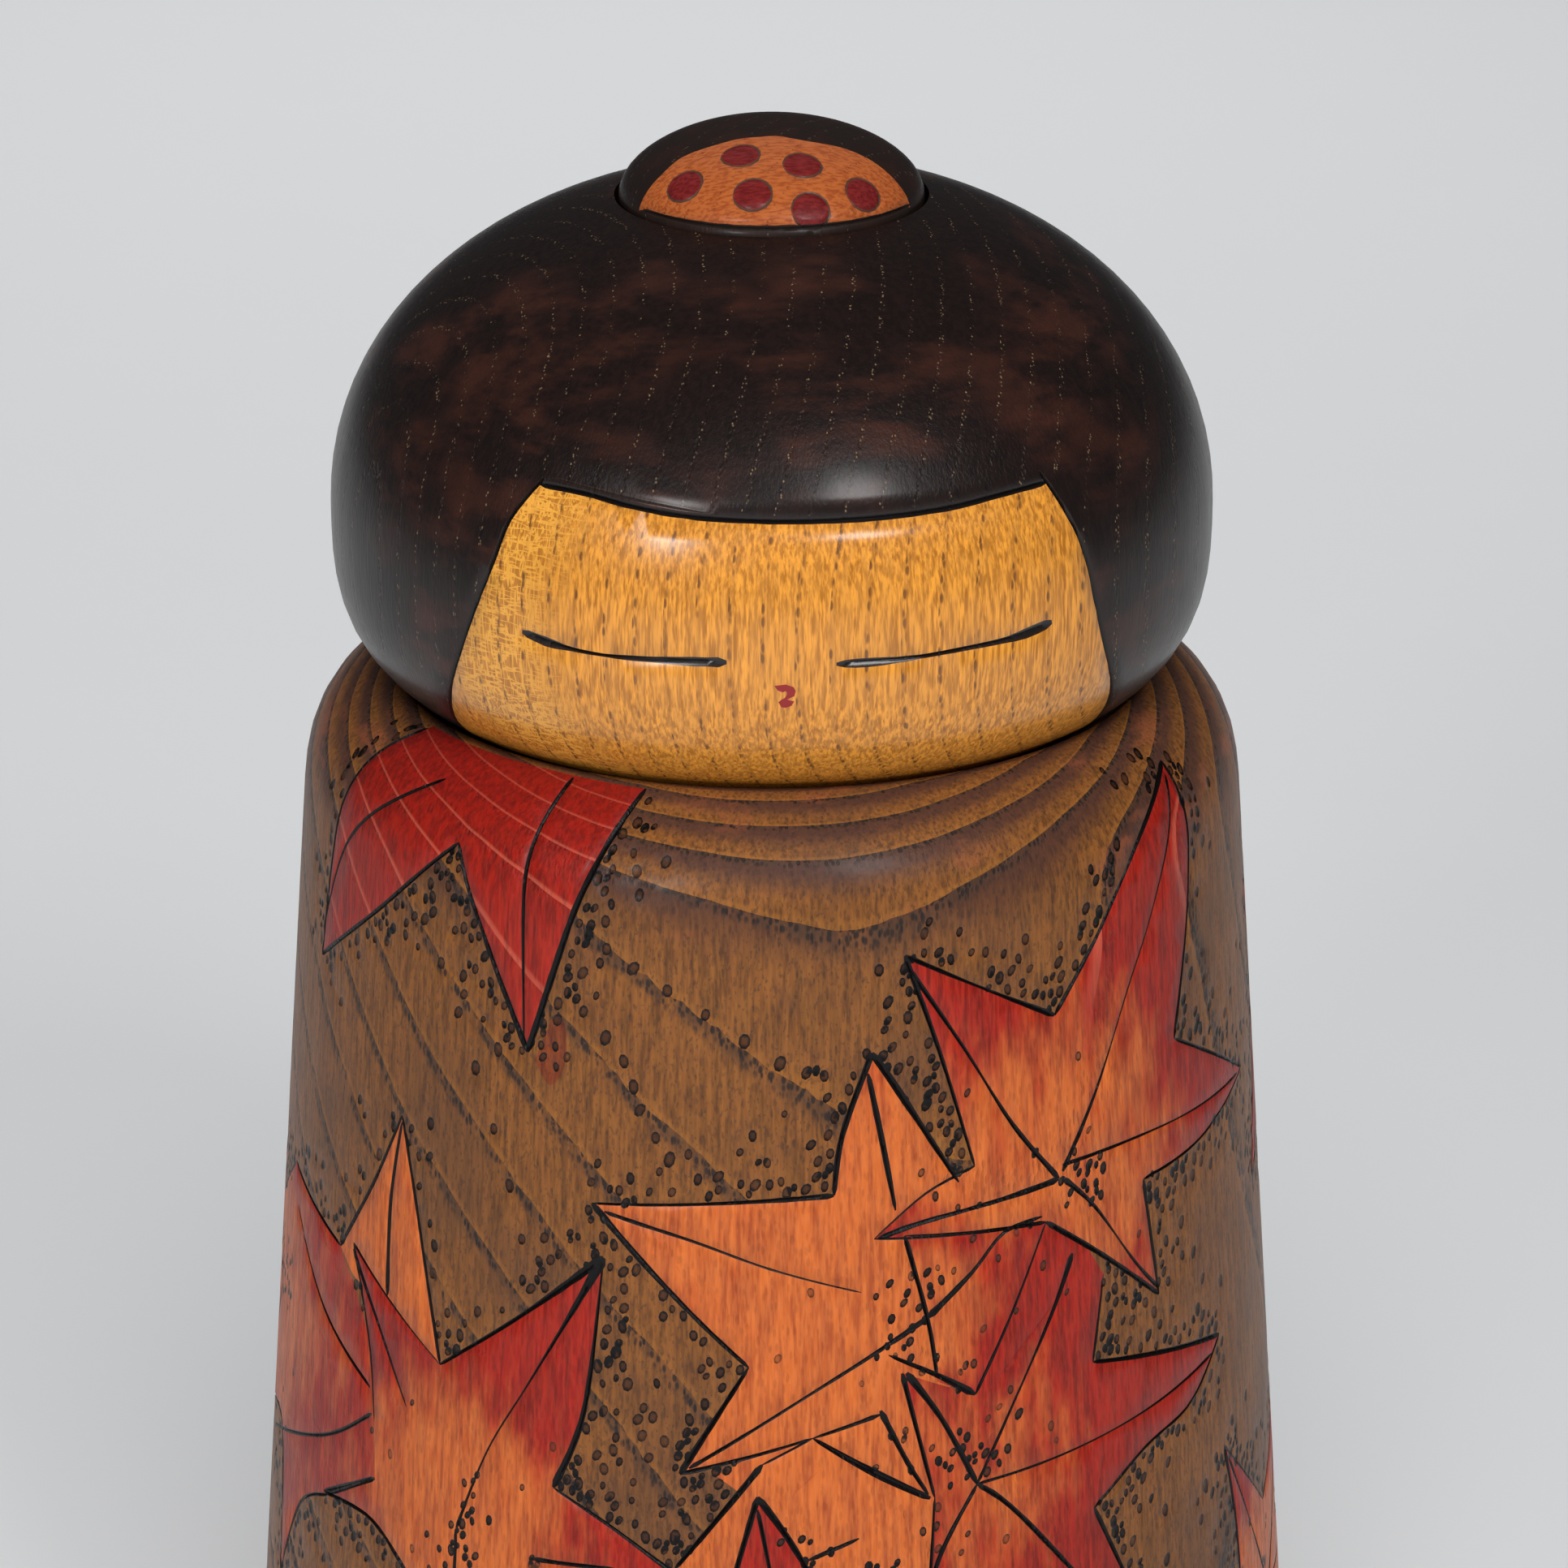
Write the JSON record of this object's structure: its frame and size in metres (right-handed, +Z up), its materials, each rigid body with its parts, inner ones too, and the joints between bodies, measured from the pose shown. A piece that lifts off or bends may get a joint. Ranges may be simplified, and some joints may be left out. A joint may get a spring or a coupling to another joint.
{
  "type": "kokeshi doll",
  "caption": "Turned wooden doll with a wide robe-shaped torso, a round head that swivels on a neck dowel, and a low dome topknot.",
  "frame": {"origin": "middle of the flat foot, on the surface the doll stands on", "axes": "+Z up along the turning axis; the face looks toward -Y; +X is to the right of a viewer who faces the doll"},
  "size_m": [0.0844, 0.0844, 0.1499],
  "materials": {
    "torso_wood": "satin varnish over brown stain, burnt outlines, red and orange stained leaves",
    "head_wood": "satin varnish, near-black stained hair and natural honey-coloured face",
    "topknot_wood": "satin varnish, dark stain with an orange painted ornament and red dots",
    "dowel_wood": "plain unvarnished pale hardwood"
  },
  "bodies": {
    "torso": {"body": "torso_wood", "neck_dowel": "dowel_wood"},
    "head_assembly": {"head": "head_wood", "topknot": "topknot_wood", "topknot_peg": "dowel_wood"}
  },
  "joints": [
    {"name": "head_turn", "type": "hinge", "parent": "torso", "child": "head_assembly", "pos_m": [0, 0, 0.1048], "axis": [0, 0, 1], "continuous": true}
  ]
}
